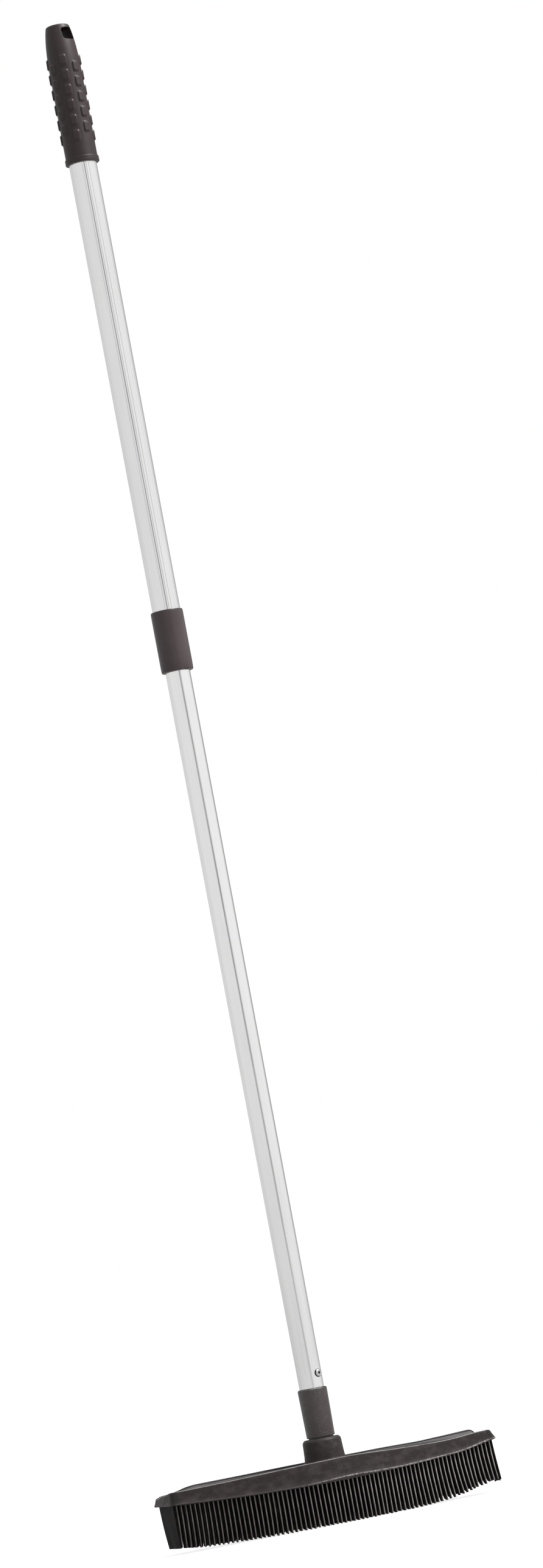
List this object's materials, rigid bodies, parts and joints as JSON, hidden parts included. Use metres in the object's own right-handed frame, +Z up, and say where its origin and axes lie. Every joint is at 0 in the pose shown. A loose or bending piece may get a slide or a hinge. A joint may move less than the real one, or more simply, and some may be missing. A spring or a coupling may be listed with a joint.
{
  "type": "rubber broom with telescopic handle",
  "caption": "Rubber-bristle sweeper: bowed head with comb strips and a squeegee lip on a fluted telescopic aluminium pole with twist lock and hanging grip.",
  "frame": {"origin": "on the plane of the bristle tips, on the pole's axis, which is the middle of the head", "axes": "+Z up along the pole, X along the head, -Y towards the bowed front, +Y towards the squeegee lip"},
  "size_m": [0.3026, 0.07, 1.352],
  "materials": {
    "grip_plastic": "moulded, satin",
    "collar_plastic": "moulded, satin",
    "fluted_aluminium": "extruded with fine flutes, satin anodised",
    "smooth_aluminium": "drawn, satin anodised",
    "bush_plastic": "natural, smooth",
    "lock_plastic": "natural, smooth",
    "ring_plastic": "smooth",
    "washer_steel": "zinc plated",
    "adapter_plastic": "spark textured",
    "rivet_metal": "plain",
    "mandrel_steel": "snapped end",
    "core_plastic": "moulded",
    "cover_rubber": "moulded, dusty matt",
    "blade_rubber": "smooth",
    "comb_rubber": "moulded, matt with bright edges"
  },
  "bodies": {
    "broom": {"inner_tube": "smooth_aluminium", "cam_core": "lock_plastic", "cam_screw": "washer_steel", "thread_adapter": "adapter_plastic", "rivet": "rivet_metal", "rivet_mandrel": "mandrel_steel", "head_core": "core_plastic", "head_cover": "cover_rubber", "squeegee_blade": "blade_rubber", "end_blades": "comb_rubber", "bristle_row_1": "comb_rubber", "bristle_row_2": "comb_rubber", "bristle_row_3": "comb_rubber", "bristle_row_4": "comb_rubber", "bristle_row_5": "comb_rubber", "bristle_row_6": "comb_rubber"},
    "lock_guide": {"guide_washer": "washer_steel"},
    "lock_ring": {"cam_ring": "ring_plastic"},
    "upper_pole": {"outer_tube": "fluted_aluminium", "collar": "collar_plastic", "collar_bush": "bush_plastic", "grip": "grip_plastic"}
  },
  "joints": [
    {"name": "twist_lock", "type": "hinge", "parent": "broom", "child": "lock_guide", "pos_m": [0, 0, 0.8198], "axis": [0, 0, 1], "range_deg": [-45, 45]},
    {"name": "telescope", "type": "slide", "parent": "lock_guide", "child": "upper_pole", "axis": [0, 0, 1], "range_m": [-0.48, 0]},
    {"name": "cam_turn", "type": "hinge", "parent": "broom", "child": "lock_ring", "pos_m": [0.0005, 0, 0.8115], "axis": [0, 0, 1], "range_deg": [-45, 45]}
  ],
  "couplings": [
    {"joint": "cam_turn", "follows": "twist_lock", "ratio": 1}
  ]
}
